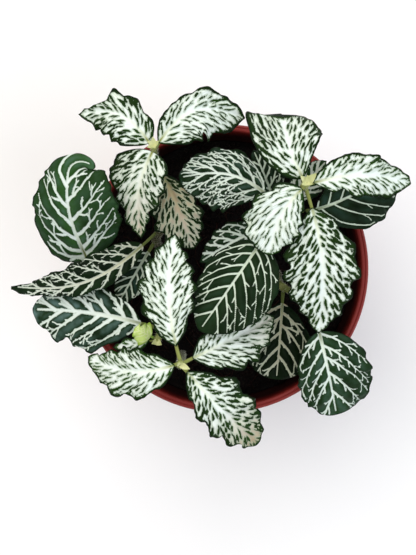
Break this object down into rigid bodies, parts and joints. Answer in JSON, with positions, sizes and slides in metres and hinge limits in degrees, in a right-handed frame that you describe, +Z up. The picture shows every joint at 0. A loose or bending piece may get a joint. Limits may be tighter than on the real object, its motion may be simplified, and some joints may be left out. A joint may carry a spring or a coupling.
{
  "type": "potted nerve plant",
  "caption": "Nerve plant with white-netted and dark green oval leaves on short hairy stems, growing from dark soil in a round tapered red-brown plastic nursery pot with a banded rim",
  "frame": {"origin": "middle of the pot's underside, on the surface it stands on", "axes": "+Z up along the pot's axis; +X to the right and +Y to the top of the picture, which looks straight down"},
  "size_m": [0.1846, 0.1632, 0.1639],
  "materials": {
    "pot": "thin moulded polypropylene with a satin sheen and faint turning and handling marks",
    "soil": "damp crumbly peat with reddish fibres, matt",
    "stem": "soft olive stem with fine pale hairs",
    "leaf_white": "white blade with feathery dark green slits and a dark green margin, satin",
    "leaf_netted": "dark green blade with a broad white net of veins, satin",
    "leaf_dark": "dark green blade with thin white veins and a bluish sheen, satin",
    "leaf_young": "pale yellow-green new leaf, satin"
  },
  "bodies": {
    "root": {"pot": "pot", "soil": "soil", "stem_back_left": "stem", "stem_back_right": "stem", "stem_front": "stem", "stem_middle_left": "stem", "stem_young": "stem", "stem_right": "stem", "stem_left": "stem", "leaf_back_left_1": "leaf_white", "leaf_back_left_2": "leaf_white", "leaf_back_left_3": "leaf_white", "leaf_back_left_4": "leaf_white", "leaf_back_right_1": "leaf_white", "leaf_back_right_2": "leaf_white", "leaf_back_right_3": "leaf_white", "leaf_back_right_4": "leaf_white", "leaf_front_1": "leaf_white", "leaf_front_2": "leaf_white", "leaf_front_3": "leaf_white", "leaf_front_4": "leaf_white", "leaf_young_1": "leaf_young", "leaf_young_2": "leaf_white", "leaf_left_long": "leaf_netted", "leaf_left_low": "leaf_netted", "leaf_left_round": "leaf_netted", "leaf_left_small": "leaf_dark", "leaf_middle_behind": "leaf_netted", "leaf_middle_large": "leaf_dark", "leaf_middle_netted": "leaf_netted", "leaf_middle_small": "leaf_dark", "leaf_right_dark": "leaf_dark", "leaf_right_low": "leaf_dark", "leaf_right_round": "leaf_netted", "leaf_right_small": "leaf_netted"}
  },
  "joints": []
}
